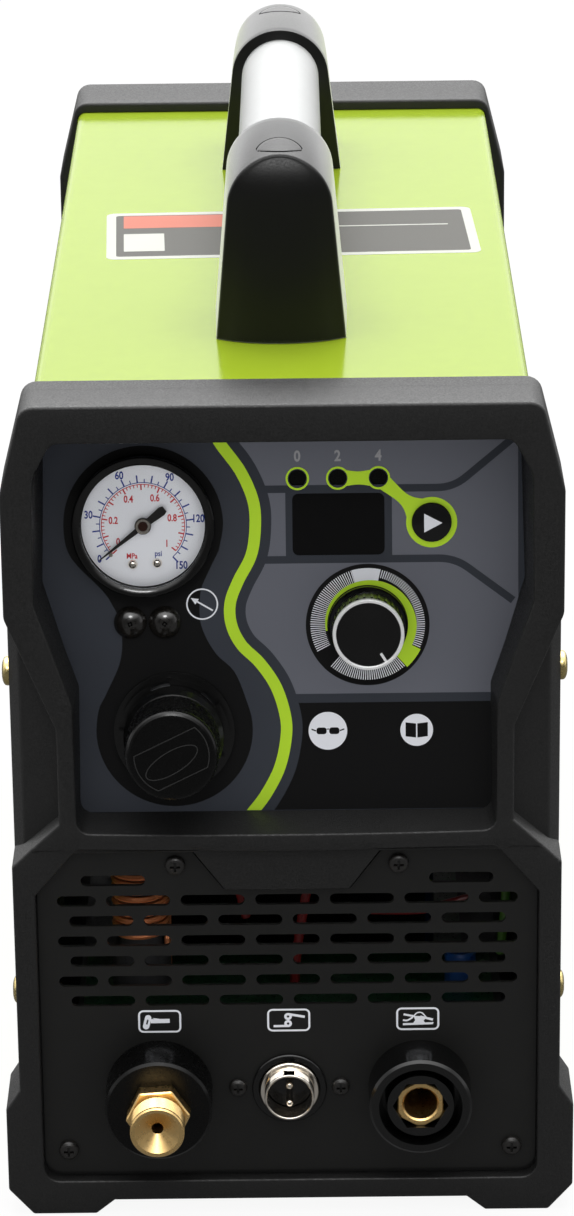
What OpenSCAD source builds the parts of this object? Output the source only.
// Air plasma cutter: inverter power unit in a steel case with plastic end frames.
// Millimetres. X runs across the front, Y runs from the front to the back, Z is up.

/* [Case] */
// Outside width of the painted cover
cover_w = 150; // [144:1:156]
// Height of the cover's top face above the floor
cover_h = 262.7; // [256:0.1:272]
// Thickness of the cover and chassis sheet
sheet_t = 1.2; // [0.8:0.1:1.6]
// Length from the front frame's face to the rear frame's back
case_l = 391.4; // [375:0.1:420]
// Height of the chassis tray's side walls
tray_wall_h = 76; // [60:1:90]
// Height of the tray's underside above the floor
tray_z = 5.4; // [5.2:0.1:6]
// Gap between parts that slide over each other when the case is assembled
fit_gap = 0.3; // [0.2:0.05:0.4]

/* [End frames] */
// How far the frames stand out past the cover on each side
frame_over = 9; // [8.4:0.1:11]
// How far the feet flare out past the frames
foot_flare = 4.4; // [3.6:0.1:6]
// How far the front frame's sides draw in at the waist
waist_in = 14.8; // [14:0.1:16]
// How far the frames' sides draw in towards the top edge
top_in = 6.9; // [5:0.1:8]
// How far the frames stand above the cover
frame_rise = 3.7; // [3:0.1:5]
// Depth of the front frame at its sides
front_frame_d = 26.1; // [25:0.1:30]
// Depth of the rear frame
rear_frame_d = 29.5; // [27:0.1:33]
// How much narrower the rear frame is on each side
rear_inset = 1.8; // [0:0.1:2.4]
// How far the middle of the front frame bulges forward
front_bow = 3.4; // [2:0.1:4.5]
// Height of the bar between the control window and the vent panel
deck_z = 129.6; // [128:0.1:131]
// Height of the control window's top edge below the frame's top
window_drop = 10.4; // [9:0.1:12]
// Width of the front frame beside the control window
window_side = 8.9; // [8.4:0.1:10]
// Width of the front frame beside the window, below the waist
window_low_side = 4.9; // [4:0.1:5.6]
// Depth of the vent panel behind the front frame's face
panel_recess = 3.4; // [3:0.1:4]
// Depth that the cover slides into each frame
cover_tuck = 9; // [7:0.1:10]

/* [Control panel] */
// Angle that the control panel leans back
panel_tilt = 9.5; // [8:0.5:11]
// Depth of the panel's lower edge behind the front frame's face
panel_y = 10.4; // [10:0.1:11]
// Thickness of the control panel
panel_t = 2; // [1.5:0.1:3]
// Pressure gauge rim diameter
gauge_d = 43.4; // [42:0.1:44]
// Pressure gauge dial diameter
dial_d = 37.4; // [36:0.1:38]
// Regulator knob diameter
reg_knob_d = 27.8; // [26:0.1:29]
// Height of the regulator knob's face above the panel
reg_knob_h = 36.5; // [34:0.1:38]
// Regulator panel nut diameter
reg_nut_d = 36.8; // [35:0.1:38]
// Current knob skirt diameter
knob_d = 24.2; // [22:0.1:26]
// Current knob height above the panel
knob_h = 16.2; // [14:0.1:18]
// Current knob cap diameter
knob_cap_d = 21.4; // [19:0.1:21.8]
// Diameter of the mode button
button_d = 11.8; // [10:0.1:13]
// Travel of the mode button
button_travel = 1; // [0.6:0.1:1.2]
// Diameter of the indicator lamps
lamp_d = 5; // [4.5:0.1:5.5]
// Width of the display window
display_w = 28; // [26:0.1:29]
// Height of the display window
display_h = 19.3; // [18:0.1:20]

/* [Vent panel] */
// Thickness of the vent panel
vent_t = 1.5; // [1.2:0.1:2]
// Width of the front frame beside the vent panel
vent_side = 6.9; // [6.4:0.1:8]
// Length of a full vent slot
slot_l = 19.7; // [18:0.1:20.4]
// Height of a vent slot
slot_h = 3.5; // [3:0.1:4]
// Spacing of the slots along a row
slot_pitch = 22.9; // [22.5:0.1:23.2]
// Spacing of the slot rows
row_pitch = 6.77; // [6.4:0.01:6.9]
// Height of the lowest slot row
slot_z = 72.1; // [71:0.1:73]

/* [Connectors] */
// Height of the three connectors above the floor
conn_z = 41.8; // [41:0.1:43]
// Distance of the outer connectors from the middle
conn_x = 40.5; // [39.5:0.1:41.5]
// Diameter of the torch connector's insulator
torch_d = 33.2; // [31:0.1:34]
// How far the insulator stands out from the vent panel
torch_out = 16; // [14:0.1:18]
// Diameter of the torch thread
torch_thread_d = 16.7; // [15.6:0.1:17]
// Length of the torch thread in front of the insulator
torch_nose = 14.5; // [13:0.1:16]
// Diameter of the gas and current bore in the torch fitting
torch_bore_d = 3.7; // [3:0.1:4.5]
// Diameter of the control socket's thread
socket_d = 16; // [15:0.1:16.4]
// Diameter of the work lead socket's housing
earth_d = 31.8; // [30:0.1:33]
// How far the work lead housing stands out from the vent panel
earth_out = 15; // [13:0.1:16]
// Diameter of the work lead socket's bore
earth_bore_d = 10.5; // [9:0.1:11]

/* [Handle] */
// Diameter of the handle tube
tube_d = 26.6; // [25:0.1:28]
// Height of the tube's axis above the cover, at the front bracket
tube_rise = 45.8; // [42:0.1:50]
// Angle that the tube falls towards the back
tube_fall = 3.8; // [2:0.1:5]
// Wall of the brackets round the tube
bracket_wall = 3.4; // [2.6:0.1:4.4]
// Width of a bracket's foot
bracket_w = 41.6; // [39:0.1:44]
// How far the front bracket's top falls towards its face
bracket_fall = 6.3; // [4:0.1:8]
// Length of the front bracket along its top
bracket_l = 37.5; // [34:0.1:42]
// Length of the rear bracket along its top
rear_bracket_l = 53; // [48:0.1:58]
// Distance of the front bracket's face behind the front frame's face
bracket_y = 71.8; // [68:0.1:76]
// Free length of tube between the brackets
grip_l = 162; // [150:1:172]

/* [Rear] */
// Outside size of the fan frame
fan_w = 120; // [116:1:124]
// Depth of the fan frame
fan_t = 25; // [22:1:28]
// Height of the fan's axis above the floor
fan_z = 92; // [88:1:96]
// Height of the row with the switch, gland and air inlet
rear_row_z = 205; // [195:1:212]
// Length of the cord gland outside the rear panel
gland_l = 22.5; // [20:0.5:28]
// Diameter of the cord gland's opening
gland_bore_d = 10; // [8:0.5:12]
// Outside diameter of the air hose
hose_d = 6.8; // [6:0.1:8]

/* [Inside] */
// Height of the main board's underside above the floor
board_z = 34; // [26:1:42]
// Height of the heat sinks
sink_h = 62; // [40:1:80]
// Height of the small front board's underside above the floor
front_board_z = 64; // [60:1:66]
// Radius of the choke winding at the wire's middle
coil_r = 8.2; // [7:0.1:9]
// Diameter of the choke's wire
wire_d = 2; // [1.6:0.1:2]
// Rise of the choke winding in one turn
coil_pitch = 2.5; // [2.5:0.1:2.8]
// Number of turns of the choke winding
coil_turns = 12; // [8:1:12]

/* [Hidden] */

eps = 0.01;
frame_h = cover_h + frame_rise;
cover_x = cover_w / 2;
half_w = cover_x + frame_over;
waist = half_w - waist_in;
foot = half_w + foot_flare;
top_half = half_w - top_in;
inner_x = cover_x - sheet_t;
cover_y0 = front_frame_d - cover_tuck;
rear_y = case_l - rear_frame_d;
rear_lip_t = 3;
cover_y1 = rear_y + cover_tuck;
vent_x = half_w - vent_side;
vent_top = deck_z - 6.4;
vent_y = panel_recess;
vent_back = vent_y + vent_t;
torch_front = vent_y - torch_out - torch_nose;
rear_plate_y = case_l - rear_lip_t;
rear_t = 1.2;
fan_y0 = rear_plate_y - rear_t - fan_t;
front_most = torch_front;
rear_most = rear_plate_y + gland_l;
mid_y = (front_most + rear_most) / 2;
fine = 64;

// ---- outlines -------------------------------------------------------------

function unit(v) = v / norm(v);
// Points of an arc of radius r that rounds corner b between a and c
function corner(a, b, c, r, n = 5) =
    r <= 0 ? [b] :
    let (u = unit(a - b), v = unit(c - b), half = acos(u * v) / 2,
         m = b + unit(u + v) * (r / sin(half)),
         p = b + u * (r / tan(half)), q = b + v * (r / tan(half)),
         a0 = atan2(p.y - m.y, p.x - m.x), a1 = atan2(q.y - m.y, q.x - m.x),
         turn = a1 - a0 > 180 ? a1 - a0 - 360 : a1 - a0 < -180 ? a1 - a0 + 360 : a1 - a0)
    [for (i = [0:n]) m + r * [cos(a0 + turn * i / n), sin(a0 + turn * i / n)]];
// A closed outline from [x, y, radius] corners
function rounded(p, n = 5) =
    [for (i = [0:len(p) - 1])
        let (k = len(p), a = p[(i + k - 1) % k], b = p[i], c = p[(i + 1) % k])
        each corner([a.x, a.y], [b.x, b.y], [c.x, c.y], b.z, n)];
// A half outline on the right, completed by its mirror image
function both(p) = concat(p, [for (i = [len(p) - 1:-1:0]) [-p[i].x, p[i].y, p[i].z]]);
function shrink(p, d) = [for (c = p) [c.x - d, c.y, c.z]];
function rect_points(w, h, r, n = 5) =
    rounded([[w / 2, -h / 2, r], [w / 2, h / 2, r], [-w / 2, h / 2, r], [-w / 2, -h / 2, r]], n);

foot_corners = [[55.2, 4.65, 0], [61, 0, 1], [foot - 7.6, 0, 1], [foot, 8.6, 1.5],
    [foot, 36.5, 1.5], [half_w, 43.3, 1.5]];
top_corners = [[half_w, frame_h - 27.7, 6], [top_half, frame_h, 5]];
waist_corners = [[half_w, deck_z - 10.6, 1.5], [waist, deck_z + 3.9, 1], [waist, deck_z + 34.4, 4],
    [half_w, deck_z + 70, 6]];
front_outline = both(concat(foot_corners, waist_corners, top_corners));
skirt_outline = both(concat(foot_corners, top_corners));
rear_outline = both(shrink(concat(foot_corners, top_corners), rear_inset));
window_top = frame_h - window_drop;
window_x = half_w - window_side;
window_low_x = waist - window_low_side;
tab_x = 27.6;
tab_low_x = 19.2;
tab_z = deck_z - 19.7;
// Opening for the vent panel, with the tab of the front frame that hangs into it
vent_corners = [[vent_x, 11.5, 5], [vent_x, vent_top - 14.1, 1], [vent_x - 12.1, vent_top, 1],
    [tab_x + 1.6, vent_top, 0], [tab_low_x, tab_z, 1]];

// Sweeps an X-Z outline from y0 to y1
module slab(y0, y1) translate([0, y1, 0]) rotate([90, 0, 0]) linear_extrude(y1 - y0) children();
module place() translate([0, -mid_y, 0]) children();
module block(x0, x1, y0, y1, z0, z1) translate([x0, y0, z0]) cube([x1 - x0, y1 - y0, z1 - z0]);
// A cylinder along Y from y0 to y1
module rod_y(x, z, y0, y1, r, fn = fine)
    translate([x, y0, z]) rotate([-90, 0, 0]) cylinder(h = y1 - y0, r = r, $fn = fn);
// Places children in the control panel's own frame: u across, w up along it, h out of it
module on_panel(u, w, h = 0)
    translate([0, panel_y, panel_z]) rotate([90 - panel_tilt, 0, 0]) translate([u, w, h]) children();
module both_sides() { children(); mirror([1, 0, 0]) children(); }
// Cross recess cut into the face of a screw head that points along +Z
module cross_recess(size, depth) {
    for (a = [0, 90]) rotate([0, 0, a])
        translate([-size / 2, -size / 8, -depth]) cube([size, size / 4, depth + 1]);
}
// Pan head screw along +Z, head seat at z = 0
module pan_screw(head_d, head_h, shank_d, shank_l) {
    difference() {
        rotate_extrude($fn = fine) polygon(concat([[0, 0], [head_d / 2, 0], [head_d / 2, head_h * 0.35]],
            [for (i = [1:5]) [head_d / 2 * cos(i * 15), head_h * (0.35 + 0.65 * sin(i * 18))]],
            [[0, head_h]]));
        translate([0, 0, head_h]) cross_recess(head_d * 0.5, head_h * 0.6);
    }
    translate([0, 0, -shank_l]) cylinder(h = shank_l + head_h * 0.3, r = shank_d / 2, $fn = 24);
}

// ---- case -----------------------------------------------------------------

frame_wall = 3;
panel_z = deck_z + 3;
panel_len = 130;
bow_r = (half_w * half_w + front_bow * front_bow) / (2 * front_bow);
skirt_front = 6;
skirt_mid = 10.6;
skirt_mid_x = half_w - 3.4;
skirt_back = 16.6;
ledge_w = 5;
side_screw_y = front_frame_d - 4.8;
side_screw_z = [68.2, 175.2];
rear_screw_y = rear_y + 4.8;
// How far a side screw reaches past the cover's outside
side_screw_grip = 4;
screw_hole_r = 2.2;

// Half width of the window's walls where they meet the leaning panel
panel_x = window_x - 3.4;
panel_low_x = window_low_x - 3.2;

// The control window: wide above the waist and narrow below it, drawn in towards the panel
module window_cut() {
    deep = front_frame_d + 12;
    hull() {
        slab(-front_bow - 1, -front_bow) polygon(rounded(both(
            [[window_low_x, deck_z + 42, 1], [window_x, deck_z + 74.2, 3],
             [window_x - 0.4, window_top - 12.6, 8], [window_x - 6.5, window_top, 4]]), 4));
        slab(deep, deep + 1) polygon(rounded(both(
            [[panel_low_x, deck_z + 42, 1], [panel_x, deck_z + 74.2, 3],
             [panel_x - 0.4, window_top - 10, 6], [panel_x - 5, window_top, 4]]), 4));
    }
    hull() {
        slab(-front_bow - 1, -front_bow) polygon(rounded(both(
            [[window_low_x - 0.2, deck_z, 4], [window_low_x, deck_z + 43, 0]]), 4));
        slab(deep, deep + 1) polygon(rounded(both(
            [[panel_low_x - 0.2, deck_z + 8, 4], [panel_low_x, deck_z + 43, 0]]), 4));
    }
}

module cover_section(grow, y0, y1) {
    slab(y0, y1) polygon(rounded(both([[cover_x + grow, tray_z - grow, 0],
        [cover_x + grow, cover_h + grow, 3 + grow]])));
}

// Fits inside the cover, above the bar
module cover_filling(y0, y1) slab(y0, y1) polygon(rounded(both([[inner_x - fit_gap, deck_z - 4, 0],
    [inner_x - fit_gap, cover_h - sheet_t - fit_gap, 2.4]])));

module front_bezel() color("#1d1e1d") place() {
    difference() {
        union() {
            slab(0, front_frame_d) polygon(rounded(front_outline));
            // the side walls behind the waist, chamfered towards the front
            intersection() {
                slab(0, front_frame_d) polygon(rounded(skirt_outline));
                translate([0, 0, -1]) linear_extrude(frame_h + 2) polygon(
                    [[-half_w - 9, front_frame_d + 1], [-half_w - 9, skirt_back], [-half_w, skirt_back],
                     [-skirt_mid_x, skirt_mid], [-waist + 2, skirt_front], [waist - 2, skirt_front],
                     [skirt_mid_x, skirt_mid], [half_w, skirt_back], [half_w + 9, skirt_back],
                     [half_w + 9, front_frame_d + 1]]);
            }
            // the bulging face of the control section
            intersection() {
                slab(-front_bow, 1) polygon(rounded(front_outline));
                translate([0, bow_r - front_bow, deck_z - 5])
                    cylinder(h = frame_h - deck_z + 6, r = bow_r, $fn = 360);
            }
            // the tunnel that reaches back to the leaning panel
            intersection() {
                cover_filling(cover_y0, front_frame_d + 9);
                on_panel(0, 0) translate([-100, -40, 0]) cube([200, 200, 80]);
            }
        }
        window_cut();
        // everything behind the leaning panel's front face
        on_panel(0, 0) translate([-inner_x + 1, -0.6, -60])
            cube([2 * inner_x - 2, panel_len, 60]);
        vent_opening();
        // hollow behind the ledge
        block(-half_w + frame_wall, half_w - frame_wall, vent_back + 3, cover_y0, 8, deck_z - 12);
        block(-inner_x + ledge_w, inner_x - ledge_w, vent_back + 2.9, front_frame_d + 1, 8, deck_z - 8);
        // groove that the cover slides into
        difference() {
            cover_section(fit_gap, cover_y0, front_frame_d + 20);
            cover_filling(cover_y0 - 1, front_frame_d + 21);
        }
        block(-half_w - 20, half_w + 20, front_frame_d, front_frame_d + 20, cover_h - sheet_t, frame_h + 1);
        // the back edge follows the bulge
        translate([0, front_frame_d - front_bow + bow_r, cover_h]) cylinder(h = 9, r = bow_r, $fn = 360);
        for (z = side_screw_z) side_screw_holes(z, side_screw_y, half_w);
        for (p = concat(panel_screws_top, panel_screws_low)) rod_y(p.x, p.y, vent_back - eps, vent_back + 9, 1.6, 24);
    }
}

// The vent panel's pocket, and the narrower opening behind its ledge
module vent_opening() {
    slab(-1, vent_back) polygon(rounded(both(vent_corners)));
    difference() {
        slab(vent_back - eps, vent_back + 3 + eps) polygon(rounded(both([[vent_x - ledge_w, 11.5 + ledge_w, 5],
            [vent_x - ledge_w, vent_top - 16, 1], [vent_x - 16, vent_top - 4.2, 1],
            [tab_x + 14, vent_top - 4.2, 1], [tab_x + 12, vent_top - 11, 1], [tab_x + 1, vent_top - 11, 1],
            [tab_low_x, tab_z + 0.5, 1]])));
        for (p = panel_screws_low) rod_y(p.x, p.y, vent_back - 1, vent_back + 4, 5, 32);
    }
}

panel_screws_top = [for (s = [-1, 1]) [s * 34.2, vent_top - 5.3]];
panel_screws_low = [for (s = [-1, 1]) [s * (vent_x - 7.8), 21.1]];

module side_screw_holes(z, y, x) {
    both_sides() translate([x - 14, y, z]) rotate([0, 90, 0]) cylinder(h = 20, r = screw_hole_r, $fn = 24);
}

module rear_bezel() color("#1d1e1d") place() difference() {
    slab(rear_y, case_l) polygon(rounded(rear_outline));
    cover_section(fit_gap, rear_y - 1, cover_y1 + fit_gap);
    slab(cover_y1, case_l - rear_lip_t) polygon(rounded(both([[half_w - rear_inset - frame_wall, 8, 2],
        [half_w - rear_inset - frame_wall, frame_h - 30, 5], [top_half - rear_inset - 4, frame_h - 4, 4]])));
    slab(case_l - 4, case_l + 1) polygon(rounded(rear_opening(0)));
    for (z = side_screw_z) side_screw_holes(z, rear_screw_y, half_w - rear_inset);
    for (p = rear_screws) rod_y(p.x, p.y, case_l - 5, case_l + 1, 1.7, 24);
}

// Lower edge of the opening in the rear frame
rear_low = 13;
function rear_opening(d) = both([[half_w - rear_inset - 9 - d, rear_low + d, 6],
    [half_w - rear_inset - 9 - d, frame_h - 34 - d, 6], [top_half - rear_inset - 9 - d, frame_h - 12 - d, 5]]);
rear_screws = [for (s = [-1, 1], z = [26, frame_h - 52]) [s * (half_w - rear_inset - 4.6), z]];

module top_cover() color("#a6cc1f") place() difference() {
    cover_section(0, cover_y0 + fit_gap, cover_y1);
    slab(cover_y0, cover_y1 + 1) polygon(rounded(both([[inner_x, tray_z - 1, 0], [inner_x, cover_h - sheet_t, 1.8]])));
    for (z = side_screw_z) {
        side_screw_holes(z, side_screw_y, cover_x);
        side_screw_holes(z, rear_screw_y, cover_x);
    }
    for (p = bracket_bolts) translate([p.x, p.y, cover_h - 5]) cylinder(h = 10, r = 3.2, $fn = 24);
}

module base_pan() color("#2a2b2b") place() {
    tray_x = inner_x - 0.2;
    tray_y0 = cover_y0 + 1.5;
    tray_y1 = cover_y1 - 0.5;
    difference() {
        union() {
            block(-tray_x, tray_x, tray_y0, tray_y1, tray_z, tray_z + sheet_t);
            both_sides() block(tray_x - sheet_t, tray_x, tray_y0, tray_y1, tray_z, tray_wall_h);
        }
        for (y = [side_screw_y, rear_screw_y]) side_screw_holes(side_screw_z[0], y, inner_x);
        for (p = board_posts) translate([p.x, p.y, tray_z - 1]) cylinder(h = 4, r = 1.7, $fn = 24);
    }
}

// Yellow zinc plated screws that hold the frames to the cover and the tray
module side_screws() color("#c9b458") place() {
    for (z = side_screw_z) {
        both_sides() translate([half_w, side_screw_y, z]) rotate([0, 90, 0])
            pan_screw(9, 2.3, 4, frame_over + side_screw_grip);
        both_sides() translate([half_w - rear_inset, rear_screw_y, z]) rotate([0, 90, 0])
            pan_screw(9, 2.3, 4, frame_over - rear_inset + side_screw_grip);
    }
}

// ---- vent panel -----------------------------------------------------------

panel_gap = 0.4;
vent_low = 13.2;
module lower_panel() color("#232423") place() difference() {
    slab(vent_y, vent_back) polygon(rounded(both([[vent_x - panel_gap, vent_low, 5],
        [vent_x - panel_gap, vent_top - 14.3, 1], [vent_x - 12.4, vent_top - panel_gap, 1],
        [tab_x + 1.9, vent_top - panel_gap, 0], [tab_low_x + 0.2, tab_z - panel_gap, 1]])));
    for (row = [0:6]) slot_row(row);
    rod_y(-conn_x, conn_z, vent_y - 1, vent_back + 1, torch_neck_r + fit_gap);
    rod_y(0, conn_z, vent_y - 1, vent_back + 1, socket_d / 2 + fit_gap);
    rod_y(conn_x, conn_z, vent_y - 1, vent_back + 1, earth_neck_r + fit_gap);
    for (p = concat(panel_screws_top, panel_screws_low)) rod_y(p.x, p.y, vent_y - 1, vent_back + 1, 1.8, 24);
    for (s = [-1, 1]) rod_y(s * 16, conn_z + 0.4, vent_y - 1, vent_back + 1, 1.3, 24);
}

// One row of slots. Even rows have a slot in the middle and a short one at each end.
module slot_row(row) {
    z = slot_z + row * row_pitch;
    even_row = row % 2 == 1;
    if (row == 6) for (s = [-1, 1]) slot(s * 53.4, z, slot_l);
    else if (even_row) {
        for (i = [-2:2]) slot(i * slot_pitch, z, slot_l);
        for (s = [-1, 1]) slot(s * (2.5 * slot_pitch + 1.5 + 6), z, 12);
    }
    else for (i = [-3:2]) slot((i + 0.5) * slot_pitch, z, slot_l);
}
module slot(x, z, l) slab(vent_y - 1, vent_back + 1) translate([x, z]) {
    square([l - slot_h, slot_h], center = true);
    for (s = [-1, 1]) translate([s * (l - slot_h) / 2, 0]) circle(r = slot_h / 2, $fn = 24);
}

module lower_panel_screws() color("#151515") place()
    for (p = concat(panel_screws_top, panel_screws_low))
        translate([p.x, vent_y, p.y]) rotate([90, 0, 0]) pan_screw(6.2, 2.2, 2.9, 8);

// ---- connectors -----------------------------------------------------------

torch_neck_r = 10;
hex_af = 17.4;
module torch_insulator() color("#20211f") place() difference() {
    union() {
        translate([-conn_x, vent_y, conn_z]) rotate([90, 0, 0]) rotate_extrude($fn = 96)
            polygon([[0, 0], [torch_d / 2, 0], [torch_d / 2, torch_out - 0.8], [torch_d / 2 - 0.8, torch_out], [0, torch_out]]);
        rod_y(-conn_x, conn_z, vent_y - eps, vent_back + 6, torch_neck_r);
    }
    rod_y(-conn_x, conn_z, vent_y - torch_out - 1, vent_back + 7, 6.5);
    // seat that keeps the hexagon from turning
    translate([-conn_x, vent_y - torch_out + 1.5, conn_z]) rotate([90, -5, 0])
        cylinder(h = 3, r = (hex_af / 2 + 0.15) / cos(30), $fn = 6);
}

module torch_fitting() color("#c99a4e") place() translate([-conn_x, vent_y - torch_out, conn_z]) difference() {
    union() {
        translate([0, 1.5, 0]) rotate([90, -5, 0]) cylinder(h = 6, r = hex_af / 2 / cos(30), $fn = 6);
        rotate([90, 0, 0]) translate([0, 0, 4]) rotate_extrude($fn = 96) polygon(concat(
            [[0, 0], [torch_thread_d / 2 - 1.1, 0]],
            [for (i = [0:thread_turns - 1]) each [[torch_thread_d / 2 - 0.75, 0.6 + i * thread_pitch],
                [torch_thread_d / 2, 0.6 + (i + 0.5) * thread_pitch]]],
            [[torch_thread_d / 2 - 0.75, torch_nose - 5], [torch_thread_d / 2 - 0.2, torch_nose - 4.4],
             [torch_thread_d / 2 - 0.9, torch_nose - 4], [0, torch_nose - 4]]));
        rotate([-90, 0, 0]) cylinder(h = torch_out + vent_t + 14, r = 6.3, $fn = fine);
    }
    rod_y(0, 0, -torch_nose - 1, torch_out + vent_t + 15, torch_bore_d / 2);
    // sealing cone
    translate([0, -torch_nose - eps, 0]) rotate([-90, 0, 0]) cylinder(h = 7.2, r1 = torch_thread_d / 2 - 1.6, r2 = torch_bore_d / 2, $fn = fine);
}
thread_pitch = 1.5;
thread_turns = floor((torch_nose - 5.6) / thread_pitch);

flange_r = 9.6;
module control_socket() color("#b9b4aa") place() difference() {
    union() {
        rod_y(0, conn_z, vent_y - 2.2, vent_y, flange_r);
        rod_y(0, conn_z, vent_y - 7.3, vent_back + 12, socket_d / 2);
        translate([0, vent_back + 2.5, conn_z]) rotate([90, 0, 0]) cylinder(h = 2.5, r = 11, $fn = 6);
    }
    rod_y(0, conn_z, vent_y - 8, vent_back + 13, socket_d / 2 - 1.2);
    translate([-1.6, vent_y - 8, conn_z + socket_d / 2 - 1.8]) cube([3.2, 6, 3]);
}
module socket_insert() color("#101010") place() difference() {
    rod_y(0, conn_z, vent_y + 0.8, vent_back + 10, socket_d / 2 - 1.2);
    for (z = [-3, 3]) rod_y(0, conn_z + z, vent_y, vent_back + 11, 1.2, 24);
}
module socket_pins() color("#cfcabb") place()
    for (z = [-3, 3]) {
        rod_y(0, conn_z + z, vent_y - 4.6, vent_back + 14, 1.2, 24);
        translate([0, vent_y - 4.6, conn_z + z]) sphere(r = 1.2, $fn = 24);
    }
module socket_screws() color("#151515") place()
    for (s = [-1, 1]) translate([s * 16, vent_y, conn_z + 0.4]) rotate([90, 0, 0]) pan_screw(5.6, 2, 2.4, 6);

earth_neck_r = 11;
module earth_housing() color("#1b1c1b") place() translate([conn_x, vent_y, conn_z]) rotate([90, 0, 0]) difference() {
    union() {
        rotate_extrude($fn = 96) polygon([[0, 0], [earth_d / 2, 0], [earth_d / 2, earth_out - 0.8],
            [earth_d / 2 - 0.8, earth_out], [earth_d / 2 - 3, earth_out], [earth_d / 2 - 3.6, 4],
            [10.9, 4], [10.3, earth_out - 1.2], [0, earth_out - 1.2]]);
        translate([0, 0, -vent_t - 8]) cylinder(h = vent_t + 9, r = earth_neck_r, $fn = fine);
    }
    translate([0, 0, -vent_t - 9]) cylinder(h = earth_out + 20, r = 6.6, $fn = fine);
    translate([0, 0, 3]) cylinder(h = earth_out, r = earth_hex_af / 2 / cos(30) + 0.4, $fn = 6);
}
earth_hex_af = 14.2;
module earth_contact() color("#cda045") place() translate([conn_x, vent_y, conn_z]) rotate([90, 0, 0]) difference() {
    union() {
        intersection() {
            translate([0, 0, 3]) cylinder(h = earth_out - 5.4, r = earth_hex_af / 2 / cos(30), $fn = 6);
            translate([0, 0, 2]) cylinder(h = earth_out, r = earth_hex_af / 2 + 0.55, $fn = fine);
        }
        translate([0, 0, -vent_t - 16]) cylinder(h = vent_t + 20, r = 6.3, $fn = fine);
    }
    translate([0, 0, -2]) cylinder(h = earth_out + 5, r = earth_bore_d / 2, $fn = fine);
    // keyway for the plug's locking lug
    translate([-1.6, 2, 3.2]) cube([3.2, earth_bore_d / 2 - 0.6, earth_out]);
}

// ---- control panel --------------------------------------------------------

gauge = [-42.3, 89.3];
regulator = [-33.8, 25.6];
current = [25.4, 57.7];
button = [45, 89.1];
lamps = [for (x = [4.5, 16.7, 29]) [x, 102.9]];
display = [16.8, 88.8];
bracket_holes = [[-46.7, 59.2], [-36.2, 59.2]];
gauge_tube_r = 19.2;
reg_thread_r = 14.6;
pot_bush_r = 3.5;

module control_panel() color("#3a3d44") place() difference() {
    on_panel(0, 0, -panel_t) linear_extrude(panel_t) polygon(rounded(both(
        [[panel_low_x + 1.2, 0, 3], [panel_low_x + 1.2, 42, 1], [inner_x - 1.3, 74, 3],
         [inner_x - 1.3, panel_len - 5, 4]])));
    panel_hole(gauge, gauge_tube_r + fit_gap);
    panel_hole(regulator, reg_thread_r + fit_gap);
    panel_hole(current, pot_bush_r + fit_gap);
    panel_hole(button, button_d / 2 + fit_gap);
    for (p = lamps) panel_hole(p, lamp_d / 2 + 0.15);
    for (p = bracket_holes) panel_hole(p, 2.2);
    on_panel(display.x, display.y, -panel_t - 1) translate([-display_w / 2 - 0.2, -display_h / 2 - 0.2, 0])
        cube([display_w + 0.4, display_h + 0.4, panel_t + 2]);
}
module panel_hole(p, r) on_panel(p.x, p.y, -panel_t - 1) cylinder(h = panel_t + 2, r = r, $fn = fine);

rim_h = 5.6;
dial_h = 1.6;
module gauge_case() color("#18191a") place() on_panel(gauge.x, gauge.y) difference() {
    union() {
        rotate_extrude($fn = 96) polygon([[0, 0], [gauge_d / 2, 0], [gauge_d / 2, rim_h - 1.6],
            [gauge_d / 2 - 0.7, rim_h - 0.4], [gauge_d / 2 - 1.8, rim_h], [0, rim_h]]);
        translate([0, 0, -22]) cylinder(h = 23, r = gauge_tube_r, $fn = fine);
        translate([0, 0, -30]) cylinder(h = 9, r = 5, $fn = fine);
    }
    translate([0, 0, dial_h - 0.8]) cylinder(h = 10, r = dial_d / 2 + 0.2, $fn = fine);
    translate([0, 0, dial_h - 8]) cylinder(h = 9, r = 1.3, $fn = 24);
}
module gauge_dial() color("#e6e9ef") place() on_panel(gauge.x, gauge.y, dial_h - 0.8) difference() {
    cylinder(h = 0.8, r = dial_d / 2, $fn = 96);
    translate([0, 0, -1]) cylinder(h = 4, r = 1.3, $fn = 24);
}
// The pointer's arbor runs in the case. At rest it lies on zero, this far round from the top.
needle_at = 128;
module gauge_needle() color("#101010") place() on_panel(gauge.x, gauge.y) {
    translate([0, 0, dial_h - 6]) cylinder(h = 6 + 1.7, r = 1.25, $fn = 24);
    translate([0, 0, dial_h + 0.5]) cylinder(h = 1.3, r = 2.5, $fn = 32);
    rotate([0, 0, 90 + needle_at]) translate([0, 0, dial_h + 0.7]) linear_extrude(0.5)
        polygon([[-8.4, -1], [-7.2, -1.4], [0, -0.9], [17, -0.12], [17, 0.12], [0, 0.9], [-7.2, 1.4], [-8.4, 1]]);
}
module gauge_lens() color([0.85, 0.9, 0.95, 0.4]) place() on_panel(gauge.x, gauge.y, rim_h - 1.9)
    cylinder(h = 1.1, r = dial_d / 2 + 0.15, $fn = 96);
module gauge_rivets() color("#b8b5ab") place() on_panel(gauge.x, gauge.y, dial_h) {
    for (p = [[-3.3, -11.9], [4.1, -11.6]]) translate([p.x, p.y, 0]) intersection() {
        sphere(r = 1.5, $fn = 32);
        cylinder(h = 3, r = 3, $fn = 24);
    }
    // zero stop
    translate([-9.9, -8.9, 0]) cylinder(h = 0.6, r = 0.6, $fn = 24);
}
module bracket_screws() color("#101010") place()
    for (p = bracket_holes) on_panel(p.x, p.y) pan_screw(10, 3.4, 4, 9);

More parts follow.
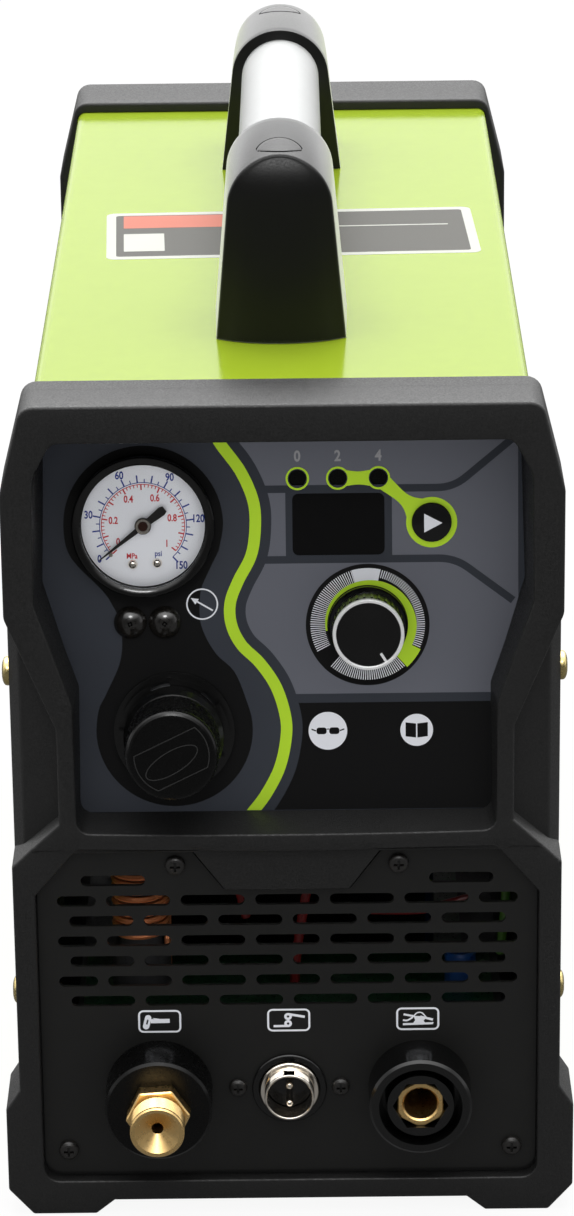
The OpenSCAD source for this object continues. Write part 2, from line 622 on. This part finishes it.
// Filter regulator behind the panel, clamped by its castellated nut
reg_body_w = 40;
reg_deep = 42;
module regulator_body() color("#8f9296") place() on_panel(regulator.x, regulator.y) difference() {
    union() {
        translate([-reg_body_w / 2, -19, -panel_t - reg_deep]) cube([reg_body_w, 38, reg_deep - 4]);
        translate([0, 0, -panel_t - 5]) cylinder(h = panel_t + 5 + 7, r = reg_thread_r, $fn = fine);
        // ears that the two black screws hold
        translate([-16, 18, -panel_t - 5]) cube([16, 20, 5]);
        // barb that the air hose slides over, level with the floor
        translate([0, 0, -panel_t - reg_deep]) rotate([-panel_tilt, 0, 0]) translate([0, 0, -barb_l])
            cylinder(h = barb_l + 3, r = 2.6, $fn = 32);
    }
    translate([0, 0, -panel_t - 24]) cylinder(h = 60, r = stem_r + 0.05, $fn = fine);
    for (p = bracket_holes) translate([p.x - regulator.x, p.y - regulator.y, -20]) cylinder(h = 40, r = 2.1, $fn = 24);
}
module regulator_nut() color("#161616") place() on_panel(regulator.x, regulator.y) difference() {
    union() {
        cylinder(h = 3.2, r = reg_nut_d / 2, $fn = fine);
        difference() {
            cylinder(h = 6.4, r = reg_nut_d / 2 - 1.6, $fn = fine);
            for (i = [0:5]) rotate([0, 0, i * 60 + 15]) translate([-3, 12, 3.2]) cube([6, 10, 4]);
        }
    }
    translate([0, 0, -1]) cylinder(h = 9, r = reg_thread_r + 0.05, $fn = fine);
}
module regulator_bonnet() color("#141414") place() on_panel(regulator.x, regulator.y, 7) difference() {
    rotate_extrude($fn = 96) polygon([[0, 0], [bonnet_r, 0], [bonnet_r, bonnet_h - 3], [bonnet_r - 1.2, bonnet_h - 1],
        [bonnet_r - 4.2, bonnet_h], [0, bonnet_h]]);
    translate([0, 0, -1]) cylinder(h = bonnet_h + 2, r = stem_r + 0.05, $fn = fine);
}
bonnet_r = 15.2;
bonnet_h = 8.2;
stem_r = 5;
module regulator_stem() color("#b08a45") place() on_panel(regulator.x, regulator.y, -panel_t - 22)
    cylinder(h = panel_t + 22 + reg_knob_h - 6, r = stem_r, $fn = fine);
module regulator_knob() color("#171717") place() on_panel(regulator.x, regulator.y) difference() {
    union() {
        rotate_extrude($fn = 96) polygon(concat([[0, reg_knob_z0], [reg_knob_d / 2, reg_knob_z0]],
            [for (i = [0:5]) [reg_knob_d / 2 - 2.2 * (1 - cos(i * 18)), reg_knob_h - 2.2 + 2.2 * sin(i * 18)]],
            [[0, reg_knob_h]]));
        // grip ribs round the skirt
        for (i = [0:35]) rotate([0, 0, i * 10]) translate([reg_knob_d / 2 - 0.4, -0.5, reg_knob_z0 + 1])
            cube([0.7, 1, reg_knob_h - reg_knob_z0 - 4]);
    }
    translate([0, 0, reg_knob_z0 - 1]) cylinder(h = 6 + 1, r = reg_knob_d / 2 - 1.3, $fn = fine);
    translate([0, 0, 0]) cylinder(h = reg_knob_h - 5.7, r = stem_r + 0.05, $fn = fine);
}
reg_knob_z0 = 15.6;

module potentiometer() color("#6d7176") place() on_panel(current.x, current.y) difference() {
    union() {
        translate([0, 0, -panel_t - 9]) cylinder(h = 9, r = 8, $fn = fine);
        translate([0, 0, -panel_t - 1]) cylinder(h = panel_t + 6, r = pot_bush_r, $fn = fine);
        cylinder(h = 2, r = 5.5, $fn = 6);
    }
    translate([0, 0, -8]) cylinder(h = 40, r = pot_shaft_r + 0.05, $fn = 32);
}
pot_shaft_r = 3;
knob_lift = 0.5;
// The knob turns with the potentiometer's shaft
pointer_at = 146;
module current_knob() color("#141414") place() on_panel(current.x, current.y) {
    difference() {
        union() {
            rotate_extrude($fn = 96) polygon([[0, knob_lift], [knob_d / 2, knob_lift], [knob_d / 2, 2.6],
                [knob_d / 2 - 0.6, 3.2], [knob_cap_d / 2 + 0.1, 4.2], [knob_cap_d / 2 - 0.3, knob_h - 2.6],
                [knob_cap_d / 2 - 1.5, knob_h - 0.5], [0, knob_h - 0.5]]);
            for (i = [0:29]) rotate([0, 0, i * 12]) translate([knob_cap_d / 2 - 0.8, -0.35, 3.6])
                cube([1.1, 0.7, knob_h - 7.4]);
        }
        translate([0, 0, -1]) cylinder(h = 7.2, r = 6.6, $fn = fine);
        rotate([0, 0, 90 - pointer_at]) translate([6.4, -0.55, knob_h - 0.9]) cube([3.6, 1.1, 2]);
    }
    translate([0, 0, -7]) cylinder(h = knob_h + 4, r = pot_shaft_r, $fn = 32);
}
module knob_trim() color("#c8c9cb") place() on_panel(current.x, current.y) {
    rotate_extrude($fn = 96) polygon([[knob_cap_d / 2 - 1.5, knob_h - 0.5], [knob_cap_d / 2 - 0.3, knob_h - 2.6],
        [knob_cap_d / 2, knob_h - 2.4], [knob_cap_d / 2 - 0.1, knob_h - 1], [knob_cap_d / 2 - 1.2, knob_h],
        [knob_cap_d / 2 - 1.5, knob_h]]);
    rotate([0, 0, 90 - pointer_at]) translate([6.5, -0.45, knob_h - 0.9]) cube([3.2, 0.9, 0.55]);
}

module display_window() color("#0c0d0f") place() on_panel(display.x, display.y, -panel_t)
    linear_extrude(panel_t) polygon(rect_points(display_w, display_h, 0.8));
module display_module() color("#191a1c") place() on_panel(display.x, display.y, -panel_t - board_gap)
    translate([-13, -8, 0]) cube([26, 16, board_gap]);
module lamp_lenses() color("#2b2f2a") place() for (p = lamps) on_panel(p.x, p.y, -panel_t - board_gap) {
    cylinder(h = board_gap + panel_t - 0.6, r = lamp_d / 2, $fn = 32);
    translate([0, 0, board_gap - 1]) cylinder(h = 1, r = lamp_d / 2 + 0.5, $fn = 32);
}
board_gap = 9;
module mode_button() color("#131313") place() on_panel(button.x, button.y) {
    intersection() {
        translate([0, 0, -panel_t - 1.2]) cylinder(h = 8, r = button_d / 2, $fn = fine);
        translate([0, 0, 1.6 - 30]) sphere(r = 30, $fn = 128);
    }
    // collar that keeps it behind the panel, and the plunger
    translate([0, 0, -panel_t - 1.3]) cylinder(h = 1.2, r = button_d / 2 + 1.2, $fn = fine);
    translate([0, 0, -panel_t - board_gap + button_travel + 0.3])
        cylinder(h = board_gap - button_travel - 1.2, r = 1.8, $fn = 24);
}
module control_board() color("#1d5a34") place() on_panel(0, 0, -panel_t - board_gap - 1.6) difference() {
    translate([-6, 46, 0]) cube([64, 68, 1.6]);
    translate([current.x, current.y, -1]) cylinder(h = 4, r = 8.4, $fn = fine);
}
module board_standoffs() color("#c8b06a") place()
    for (u = [-2, 54], w = [50, 110]) on_panel(u, w, -panel_t - board_gap) cylinder(h = board_gap, r = 2.4, $fn = 6);

// ---- handle ---------------------------------------------------------------

tube_z = cover_h + tube_rise;
bracket_r = tube_d / 2 + bracket_wall;
front_lip = bracket_y + bracket_l;
rear_lip = front_lip + grip_l;
bracket_half = bracket_w / 2;
rear_foot_y = rear_lip + 6;
rear_foot_l = rear_bracket_l - 7;
front_foot_l = bracket_l + 6.5;
tube_in_front = 16;
tube_in_rear = 28;
plug_r = 7.5;
bracket_bolts = [[0, bracket_y + 12], [0, bracket_y + 30], [0, rear_foot_y + 14], [0, rear_foot_y + 34]];
// Height of the tube's axis at depth y
function axis_z(y) = tube_z - (y - front_lip) * tan(tube_fall);
// Children with Z along the tube's axis, starting at depth y
module on_tube(y) translate([0, y, axis_z(y)]) rotate([-90 - tube_fall, 0, 0]) children();

module handle_tube() color("#d3d5d8") place() difference() {
    on_tube(front_lip - tube_in_front)
        cylinder(h = grip_l + tube_in_front + tube_in_rear, r = tube_d / 2, $fn = 96);
    on_tube(front_lip - tube_in_front - 1)
        cylinder(h = grip_l + tube_in_front + tube_in_rear + 2, r = tube_d / 2 - 1.5, $fn = 96);
}
// An oval foot, flattened at its ends
module oval_foot(l) linear_extrude(1.4)
    polygon([for (i = [0:31]) let (a = i * 360 / 32)
        [bracket_half * sign(cos(a)) * pow(abs(cos(a)), 0.62), l / 2 + l / 2 * sign(sin(a)) * pow(abs(sin(a)), 0.8)]]);
// Height of a bracket's top at the share t of its length from the tube's lip
function bracket_top(lip, drop, t) = axis_z(lip) + bracket_r - drop * t * t;
// A bracket whose top runs from the tube's lip to its outer end and falls by drop on the way
module bracket(lip, end, drop, foot_y, foot_l, grow = 0) {
    out = sign(end - lip);
    hull() {
        translate([0, foot_y, cover_h]) oval_foot(foot_l);
        for (t = [0, 0.4, 0.7, 0.95]) {
            r = bracket_r - 2.2 * t * t;
            y = lip + (end - lip) * t;
            rod_y(0, bracket_top(lip, drop, t) - r, y - 0.1, y + 0.1, r + grow, 48);
        }
        rod_y(0, bracket_top(lip, drop, 1) - 0.6 - bracket_r + 3.4, end - 0.1, end + 0.1, bracket_r - 3.4, 48);
    }
}
module front_bracket_form(grow = 0) bracket(front_lip, bracket_y, bracket_fall, bracket_y, front_foot_l, grow);
module rear_bracket_form(grow = 0)
    bracket(rear_lip, rear_lip + rear_bracket_l, rear_bracket_l * tan(tube_fall), rear_foot_y, rear_foot_l, grow);
module front_handle_bracket() color("#1b1c1c") place() difference() {
    front_bracket_form();
    on_tube(front_lip - tube_in_front) cylinder(h = 60, r = tube_d / 2, $fn = 96);
    front_plug(0);
    bolt_holes();
}
module rear_handle_bracket() color("#1b1c1c") place() difference() {
    rear_bracket_form();
    on_tube(rear_lip - 30) cylinder(h = tube_in_rear + 30, r = tube_d / 2, $fn = 96);
    rear_plug(0);
    bolt_holes();
}
bolt_d = 5;
module bolt_holes() for (p = bracket_bolts)
    translate([p.x, p.y, cover_h - 5]) cylinder(h = 20, r = bolt_d / 2 + 0.1, $fn = 24);
// A half-moon prism with its straight edge towards the front, sunk into a bracket's top
module half_moon(gap) translate([0, 0, gap - plug_sink]) linear_extrude(8)
    polygon(concat([[plug_r - gap, gap]], [for (i = [1:23])
        [(plug_r - gap) * cos(i * 7.5), gap + (plug_l - 2 * gap) * sin(i * 7.5)]], [[gap - plug_r, gap]]));
plug_sink = 3.2;
plug_l = 13;
front_plug_y = bracket_y + 2;
rear_plug_y = rear_lip + 33;
module front_plug(gap) {
    t = (front_lip - front_plug_y) / bracket_l;
    translate([0, front_plug_y, bracket_top(front_lip, bracket_fall, t)])
        rotate([atan(2 * bracket_fall * (t - 0.18) / bracket_l), 0, 0]) half_moon(gap);
}
module rear_plug(gap) translate([0, rear_plug_y, axis_z(rear_plug_y) + bracket_r - 0.4])
    rotate([-tube_fall, 0, 0]) half_moon(gap);
module handle_plugs() color("#222322") place() {
    intersection() {
        front_plug(0.2);
        front_bracket_form(0.35);
    }
    intersection() {
        rear_plug(0.2);
        rear_bracket_form(0.35);
    }
}
module handle_bolts() color("#9a9c9f") place() for (p = bracket_bolts) translate([p.x, p.y, cover_h - sheet_t]) {
    translate([0, 0, -3.2]) cylinder(h = 3.2, r = 5.2, $fn = 6);
    cylinder(h = 14, r = bolt_d / 2, $fn = 24);
}

// ---- rear -----------------------------------------------------------------

plate_y = rear_plate_y;
fan_bore = fan_w / 2 - 3;
module rear_panel() color("#232423") place() difference() {
    slab(plate_y - rear_t, plate_y) polygon(rounded(both([[half_w - rear_inset - 6, 10, 4],
        [half_w - rear_inset - 6, frame_h - 32, 5], [top_half - rear_inset - 7, frame_h - 9, 4]])));
    rod_y(0, fan_z, plate_y - 3, plate_y + 1, fan_bore);
    for (p = fan_holes) rod_y(p.x, p.y, plate_y - 3, plate_y + 1, 2.2, 24);
    translate([-38, plate_y - 3, rear_row_z - 11]) cube([21, 5, 28]);
    rod_y(38, rear_row_z, plate_y - 3, plate_y + 1, gland_r + fit_gap);
    rod_y(inlet_x, rear_row_z, plate_y - 3, plate_y + 1, 6.5 + fit_gap);
    rod_y(stud_x, stud_z, plate_y - 3, plate_y + 1, stud_r + fit_gap, 24);
    for (p = rear_screws) rod_y(p.x, p.y, plate_y - 3, plate_y + 1, 1.7, 24);
}
fan_holes = [for (sx = [-1, 1], sz = [-1, 1]) [sx * (fan_w / 2 - 7.5), fan_z + sz * (fan_w / 2 - 7.5)]];
guard_wire = 1.8;
// Four screws of the rear panel and four of the fan
module rear_panel_screws() color("#151515") place() {
    for (p = rear_screws) translate([p.x, case_l, p.y]) rotate([-90, 0, 0]) pan_screw(6.2, 2.2, 2.9, 8);
    for (p = fan_holes) translate([p.x, plate_y + guard_wire, p.y]) rotate([-90, 0, 0])
        pan_screw(8, 2.8, 4, guard_wire + rear_t + fan_t);
}

module fan_frame() color("#202122") place() difference() {
    slab(fan_y0, plate_y - rear_t) translate([0, fan_z]) polygon(rect_points(fan_w, fan_w, 5));
    rod_y(0, fan_z, fan_y0 + 3.5, plate_y, fan_bore);
    difference() {
        rod_y(0, fan_z, fan_y0 - 1, fan_y0 + 4, fan_bore);
        rod_y(0, fan_z, fan_y0 - 1, fan_y0 + 4, 19);
        for (a = [45:90:359]) translate([0, fan_y0 - 1, fan_z]) rotate([0, a, 0]) translate([0, 0, -4]) cube([fan_w, 5, 8]);
    }
    rod_y(0, fan_z, fan_y0 - 1, fan_y0 + 5, 1.55, 24);
    for (p = fan_holes) rod_y(p.x, p.y, fan_y0 - 1, plate_y, 2.2, 24);
}
blade_n = 7;
module fan_rotor() color("#2b2c2e") place() translate([0, fan_y0 + 4.2, fan_z]) rotate([-90, 0, 0]) {
    cylinder(h = fan_t - 6, r = 20, $fn = fine);
    translate([0, 0, -4]) cylinder(h = 5, r = 1.5, $fn = 24);
    for (i = [0:blade_n - 1]) rotate([0, 0, i * 360 / blade_n]) translate([18, 0, (fan_t - 6) / 2])
        rotate([35, 0, 0]) translate([0, -13, -0.8]) cube([fan_bore - 19.5 - 3, 26, 1.6]);
}
module fan_guard() color("#3a3b3c") place() translate([0, plate_y, fan_z]) rotate([-90, 0, 0]) {
    for (r = [16:8.4:fan_bore]) rotate_extrude($fn = 72) translate([r, guard_wire * 1.3]) circle(r = guard_wire / 2, $fn = 16);
    for (a = [45, 135]) rotate([0, 0, a]) translate([-fan_bore + 1, -guard_wire / 2, 0])
        cube([2 * fan_bore - 2, guard_wire, guard_wire]);
    for (p = fan_holes) translate([p.x, fan_z - p.y, 0]) {
        difference() {
            cylinder(h = guard_wire, r = 4.6, $fn = 32);
            translate([0, 0, -1]) cylinder(h = 4, r = 2.1, $fn = 24);
        }
    }
    for (a = [45, 135, 225, 315]) rotate([0, 0, a]) translate([fan_bore - 2, -guard_wire / 2, 0])
        cube([(fan_w / 2 - 7.5) * sqrt(2) - 4.4 - fan_bore + 2, guard_wire, guard_wire]);
}

rocker_x = -27.5;
rocker_z = rear_row_z + 3;
module switch_body() color("#151515") place() difference() {
    union() {
        block(rocker_x - 12.5, rocker_x + 12.5, plate_y, plate_y + 2, rocker_z - 16, rocker_z + 16);
        block(rocker_x - 10.3, rocker_x + 10.3, plate_y - 18, plate_y + 1, rocker_z - 13.8, rocker_z + 13.8);
    }
    block(rocker_x - 8, rocker_x + 8, plate_y - 9, plate_y + 3, rocker_z - 12, rocker_z + 12);
    translate([rocker_x - 9.4, plate_y - 2, rocker_z]) rotate([0, 90, 0]) cylinder(h = 18.8, r = 1.55, $fn = 24);
}
rocker_tilt = 8;
module switch_rocker() color("#8e1c1a") place() translate([rocker_x, plate_y - 2, rocker_z]) rotate([rocker_tilt, 0, 0]) {
    translate([-7.6, 0, 0]) rotate([90, 0, 90]) linear_extrude(15.2)
        polygon([[-4.5, -5], [-4.5, 5], [1, 10.6], [4.8, 10.8], [3.2, 0], [4.8, -10.8], [1, -10.6]]);
    translate([-9.2, 0, 0]) rotate([0, 90, 0]) cylinder(h = 18.4, r = 1.5, $fn = 24);
}

gland_r = 10.2;
module cord_gland() color("#1a1a1a") place() translate([38, plate_y, rear_row_z]) rotate([-90, 0, 0]) difference() {
    union() {
        cylinder(h = 5.5, r = gland_r + 3, $fn = 6);
        translate([0, 0, 5]) rotate_extrude($fn = 48) polygon([[0, 0], [gland_r + 1.6, 0], [gland_r + 1.6, gland_l - 14.5],
            [gland_r - 0.6, gland_l - 9], [gland_r - 2.2, gland_l - 5], [0, gland_l - 5]]);
        translate([0, 0, -rear_t - 9]) cylinder(h = 10 + rear_t, r = gland_r, $fn = 48);
        translate([0, 0, -rear_t - 5]) cylinder(h = 5, r = gland_r + 3, $fn = 6);
    }
    translate([0, 0, -20]) cylinder(h = 60, r = gland_bore_d / 2, $fn = 48);
}
inlet_x = 5;
module air_inlet() color("#c9a25a") place() translate([inlet_x, plate_y, rear_row_z]) rotate([-90, 0, 0]) difference() {
    union() {
        cylinder(h = 5, r = 9.2, $fn = 6);
        translate([0, 0, 4]) rotate_extrude($fn = 48) polygon(concat([[0, 0], [4.6, 0]],
            [for (i = [0:3]) each [[5.2, 1.5 + i * 3.2], [4.2, 4.4 + i * 3.2]]], [[3.9, 15.6], [0, 15.6]]));
        translate([0, 0, -rear_t - barb_l]) cylinder(h = barb_l + 1 + rear_t, r = 6.5, $fn = 48);
        translate([0, 0, -rear_t - 5]) cylinder(h = 5, r = 9.2, $fn = 6);
    }
    translate([0, 0, -30]) cylinder(h = 60, r = 2.6, $fn = 32);
}
stud_x = 56;
// Midway between the fan and the rear frame's lower edge
stud_z = (rear_low + fan_z - fan_w / 2) / 2;
stud_r = 3;
module earth_stud() color("#b7b9bb") place() translate([stud_x, plate_y, stud_z]) rotate([-90, 0, 0]) {
    translate([0, 0, -rear_t - 4]) cylinder(h = 4, r = 5.6, $fn = 6);
    translate([0, 0, -rear_t - 1]) cylinder(h = rear_t + 14, r = stud_r, $fn = 32);
    cylinder(h = 1.2, r = 6.4, $fn = 32);
    translate([0, 0, 1.2]) cylinder(h = 4.6, r = 5.6, $fn = 6);
}

// ---- inside ---------------------------------------------------------------

board_t = 1.6;
board_side_gap = 15.8;
board_fan_gap = 28.2;
board_y0 = 84;
board_y1 = fan_y0 - board_fan_gap;
board_x = inner_x - board_side_gap;
board_top = board_z + board_t;
post_in = 6;
post_r = 3.4;
board_posts = [for (s = [-1, 1], y = [board_y0 + post_in, board_y1 - post_in]) [s * (board_x - post_in), y]];
module main_board() color("#1d5a34") place() {
    difference() {
        block(-board_x, board_x, board_y0, board_y1, board_z, board_top);
        for (p = board_posts) translate([p.x, p.y, board_z - 1]) cylinder(h = board_t + 2, r = 1.7, $fn = 24);
    }
    // posts down to the tray
    for (p = board_posts) translate([p.x, p.y, tray_z + sheet_t]) difference() {
        cylinder(h = board_z - tray_z - sheet_t, r = post_r, $fn = 6);
        translate([0, 0, -1]) cylinder(h = board_z, r = 1.5, $fn = 24);
    }
}

sink_x = 16;
sink_base_t = 4;
sink_fin_l = 30;
sink_fin_t = 2;
sink_fins = 7;
sink_y0 = 110;
sink_end = 20;
sink_top_gap = 4.4;
module heat_sinks() color("#a7a9ac") place() both_sides() translate([sink_x, board_y0 + sink_y0, board_top]) {
    sink_l = board_y1 - board_y0 - sink_y0 - sink_end;
    fin_pitch = (sink_h - sink_base_t - sink_fin_t - sink_top_gap) / (sink_fins - 1);
    block(0, sink_base_t, 0, sink_l, 0, sink_h);
    for (i = [0:sink_fins - 1]) translate([0, 0, sink_base_t + i * fin_pitch])
        block(sink_base_t - eps, sink_base_t + sink_fin_l, 0, sink_l, 0, sink_fin_t);
}

core_w = 64;
core_d = 50;
core_h = 50;
core_leg = 18;
core_side = 9;
core_yoke = 8;
coil_gap = 1.5;
coil_wrap = 3;
transformer_y = 70;
module transformer() color("#3a3c3e") place() translate([0, board_y0 + transformer_y, board_top]) {
    inner = core_w / 2 - core_side;
    difference() {
        block(-core_w / 2, core_w / 2, -core_d / 2, core_d / 2, 0, core_h);
        block(-inner, inner, -core_d, core_d, core_yoke, core_h - core_yoke);
    }
    block(-core_leg / 2, core_leg / 2, -core_d / 2, core_d / 2, 0, core_h);
    color("#b87333") difference() {
        block(-inner + coil_gap, inner - coil_gap, -core_d / 2 + coil_wrap, core_d / 2 - coil_wrap,
            core_yoke + coil_gap, core_h - core_yoke - coil_gap);
        block(-core_leg / 2 - 0.1, core_leg / 2 + 0.1, -core_d, core_d, 0, core_h);
    }
}

bulk_cap_r = 14;
bulk_cap_h = 44.2;
bulk_cap_pitch = 34;
bulk_cap_y = 22;
small_cap_r = 5;
small_cap_h = 12;
// A capacitor's can with a rolled edge
module can(r, h, roll) rotate_extrude($fn = 48)
    polygon([[0, 0], [r, 0], [r, h - roll], [r - roll, h], [r - 2 * roll, h - roll / 2], [0, h - roll / 2]]);
module capacitors() color("#2456a8") place() {
    for (i = [-1:1]) translate([i * bulk_cap_pitch, board_y0 + bulk_cap_y, board_top]) can(bulk_cap_r, bulk_cap_h, 1.2);
    translate([front_cap.x, front_cap.y, front_board_top]) can(small_cap_r, small_cap_h, 0.8);
}

front_board_y0 = 12;
front_board_y1 = 54;
front_board_side_gap = 9.8;
front_board_x = inner_x - front_board_side_gap;
front_board_top = front_board_z + board_t;
leg_t = 2;
leg_foot = 10;
leg_in = 4;
front_cap = [54, 27];
choke = [-46, 30];
// Small board behind the vent panel, on two angle legs that stand on the tray
module front_board() color("#1d5a34") place() {
    floor_z = tray_z + sheet_t;
    leg_x = front_board_x - leg_in;
    leg_y0 = cover_y0 + 6;
    leg_y1 = front_board_y1 - leg_in;
    block(-front_board_x, front_board_x, front_board_y0, front_board_y1, front_board_z, front_board_top);
    both_sides() {
        block(leg_x - leg_t, leg_x, leg_y0, leg_y1, floor_z, front_board_z + eps);
        block(leg_x - leg_foot, leg_x, leg_y0, leg_y1, floor_z, floor_z + board_t);
    }
}

wire_r = wire_d / 2;
coil_rings = 24;
coil_sides = 6;
lead_bend = 2.5;
coil_z0 = front_board_top + 18;
coil_h = coil_turns * coil_pitch;
choke_base_h = coil_z0 - front_board_top - lead_bend - wire_d;
module choke_core() color("#35373a") place() translate([choke.x, choke.y, front_board_top]) {
    cylinder(h = choke_base_h, r = coil_r + wire_r, $fn = 48);
    cylinder(h = choke_base_h + lead_bend + wire_d + coil_h + 3.5, r = coil_r - wire_r - 0.3, $fn = 48);
}
// The wire's centre line as [point, tangent, outward normal]: up from the core's base and round a
// bend into the turns, then out along the last turn's tangent and straight down to the board
coil_steps = coil_turns * coil_rings;
lead_out = sqrt(pow(coil_r + 2 * wire_r + 0.6, 2) - coil_r * coil_r) - lead_bend + 0.4;
coil_path = concat(
    [for (z = [choke_base_h + front_board_top, coil_z0 - lead_bend - 0.1])
        [[coil_r, -lead_bend, z], [0, 0, 1], [1, 0, 0]]],
    [for (k = [1:3]) let (a = 180 - k * 22.5)
        [[coil_r, lead_bend * cos(a), coil_z0 - lead_bend + lead_bend * sin(a)], [0, sin(a), -cos(a)], [1, 0, 0]]],
    [for (i = [0:coil_steps]) let (a = 360 * i / coil_rings)
        [[coil_r * cos(a), coil_r * sin(a), coil_z0 + coil_pitch * i / coil_rings], [-sin(a), cos(a), 0], [cos(a), sin(a), 0]]],
    [for (k = [0:4]) let (a = 90 - k * 22.5)
        [[coil_r, lead_out + lead_bend * cos(a), coil_z0 + coil_h - lead_bend + lead_bend * sin(a)],
         [0, sin(a), -cos(a)], [1, 0, 0]]],
    [[[coil_r, lead_out + lead_bend, front_board_top], [0, 0, -1], [1, 0, 0]]]);
coil_points = len(coil_path);
least_turn_gap = min([for (i = [0:coil_points - 1], j = [i + coil_rings / 2:1:coil_points - 1])
    norm(coil_path[j][0] - coil_path[i][0])]) - wire_d;
echo(least_turn_gap = least_turn_gap);
// A closed tube of radius r along a path of [point, tangent, normal]
module tube(path, r, s) {
    n = len(path);
    points = [for (c = path, k = [0:s - 1]) let (b = 360 * k / s)
        c[0] + r * (cos(b) * c[2] + sin(b) * cross(c[1], c[2]))];
    sides = [for (i = [0:n - 2], k = [0:s - 1]) let (p = i * s, q = (k + 1) % s)
        each [[p + k, p + q, p + s + q], [p + k, p + s + q, p + s + k]]];
    last = (n - 1) * s;
    ends = [for (k = [1:s - 2]) each [[0, k + 1, k], [last, last + k, last + k + 1]]];
    polyhedron(points = points, faces = concat(sides, ends));
}
module choke_winding() color("#b4622d") place() translate([choke.x, choke.y, 0]) tube(coil_path, wire_r, coil_sides);

hose_r = hose_d / 2;
hose_bend = 12;
hose_sides = 12;
barb_l = 12;
barb_gap = 0.3;
reg_back = panel_point(regulator.x, regulator.y, -panel_t - reg_deep);
// World place of a point in the control panel's frame
function panel_point(u, w, h) = [u, panel_y + w * sin(panel_tilt) - h * cos(panel_tilt),
    panel_z + w * cos(panel_tilt) + h * sin(panel_tilt)];
// Vector v turned by angle a about the unit axis n
function turn(v, n, a) = n * (n * v) + (v - n * (n * v)) * cos(a) + cross(n, v) * sin(a);
// The path [point, tangent, normal] through corners c from corner i on, each rounded by radius r
function bent(c, r, normal, i = 1) =
    let (a = unit(c[i] - c[i - 1]))
    i == len(c) - 1 ? [[c[i], a, normal]] :
    let (b = unit(c[i + 1] - c[i]), n = cross(a, b), m = c[i] + r * (b - a))
    concat([for (t = [0:22.5:90]) [m + r * (a * sin(t) - b * cos(t)), a * cos(t) + b * sin(t), turn(normal, n, t)]],
        bent(c, r, turn(normal, n, 90), i + 1));
// Air line from the inlet forward, across to the regulator's side, and down to its back
module air_hose() color("#1f3f77") place() {
    start_y = plate_y - rear_t - barb_l - barb_gap;
    cross_y = start_y - 32;
    down_y = reg_back.y + barb_l + 18;
    c = [[inlet_x, start_y, rear_row_z], [inlet_x, cross_y, rear_row_z], [regulator.x, cross_y, rear_row_z],
        [regulator.x, down_y, rear_row_z], [regulator.x, down_y, reg_back.z],
        [regulator.x, reg_back.y + barb_l + barb_gap, reg_back.z]];
    tube(concat([[c[0], unit(c[1] - c[0]), [0, 0, 1]]], bent(c, hose_bend, [0, 0, 1])), hose_r, hose_sides);
}

front_bezel();
rear_bezel();
top_cover();
base_pan();
lower_panel();
lower_panel_screws();
control_panel();
rear_panel();
rear_panel_screws();
side_screws();
handle_tube();
front_handle_bracket();
rear_handle_bracket();
handle_plugs();
handle_bolts();
gauge_case();
gauge_dial();
gauge_needle();
gauge_lens();
gauge_rivets();
bracket_screws();
regulator_body();
regulator_nut();
regulator_bonnet();
regulator_stem();
regulator_knob();
potentiometer();
current_knob();
knob_trim();
display_window();
display_module();
lamp_lenses();
mode_button();
control_board();
board_standoffs();
torch_insulator();
torch_fitting();
control_socket();
socket_insert();
socket_pins();
socket_screws();
earth_housing();
earth_contact();
fan_frame();
fan_rotor();
fan_guard();
switch_body();
switch_rocker();
cord_gland();
air_inlet();
earth_stud();
main_board();
heat_sinks();
transformer();
choke_core();
choke_winding();
capacitors();
front_board();
air_hose();
